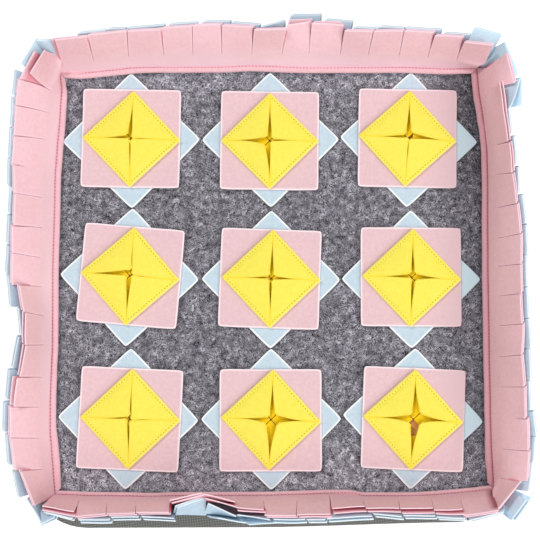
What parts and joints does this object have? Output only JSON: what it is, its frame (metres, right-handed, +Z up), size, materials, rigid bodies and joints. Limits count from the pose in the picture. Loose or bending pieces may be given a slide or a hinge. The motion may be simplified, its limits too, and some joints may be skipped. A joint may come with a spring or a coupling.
{
  "type": "snuffle mat",
  "caption": "Square felt snuffle mat with folded flower pockets on a grey field, a standing cut fringe border and an anti-slip back.",
  "frame": {"origin": "centre of the backing's underside, on the surface the mat lies on", "axes": "+X to the right, +Y to the far side, +Z up"},
  "size_m": [0.4813, 0.4725, 0.0598],
  "materials": {
    "backing": "matt cloth with small raised dots",
    "grey_felt": "matt marl felt",
    "blue_felt": "matt felt",
    "pink_felt": "matt felt",
    "yellow_felt": "matt felt"
  },
  "bodies": {
    "root": {"backing": "backing", "base_felt": "grey_felt", "blue_square_1": "blue_felt", "blue_square_2": "blue_felt", "blue_square_3": "blue_felt", "blue_square_4": "blue_felt", "blue_square_5": "blue_felt", "blue_square_6": "blue_felt", "blue_square_7": "blue_felt", "blue_square_8": "blue_felt", "blue_square_9": "blue_felt", "pink_square_1": "pink_felt", "pink_square_2": "pink_felt", "pink_square_3": "pink_felt", "pink_square_4": "pink_felt", "pink_square_5": "pink_felt", "pink_square_6": "pink_felt", "pink_square_7": "pink_felt", "pink_square_8": "pink_felt", "pink_square_9": "pink_felt", "yellow_pocket_1": "yellow_felt", "yellow_pocket_2": "yellow_felt", "yellow_pocket_3": "yellow_felt", "yellow_pocket_4": "yellow_felt", "yellow_pocket_5": "yellow_felt", "yellow_pocket_6": "yellow_felt", "yellow_pocket_7": "yellow_felt", "yellow_pocket_8": "yellow_felt", "yellow_pocket_9": "yellow_felt", "pink_fringe_far": "pink_felt", "pink_fringe_near": "pink_felt", "pink_fringe_left": "pink_felt", "pink_fringe_right": "pink_felt", "blue_fringe_far": "blue_felt", "blue_fringe_near": "blue_felt", "blue_fringe_left": "blue_felt", "blue_fringe_right": "blue_felt"}
  },
  "joints": []
}
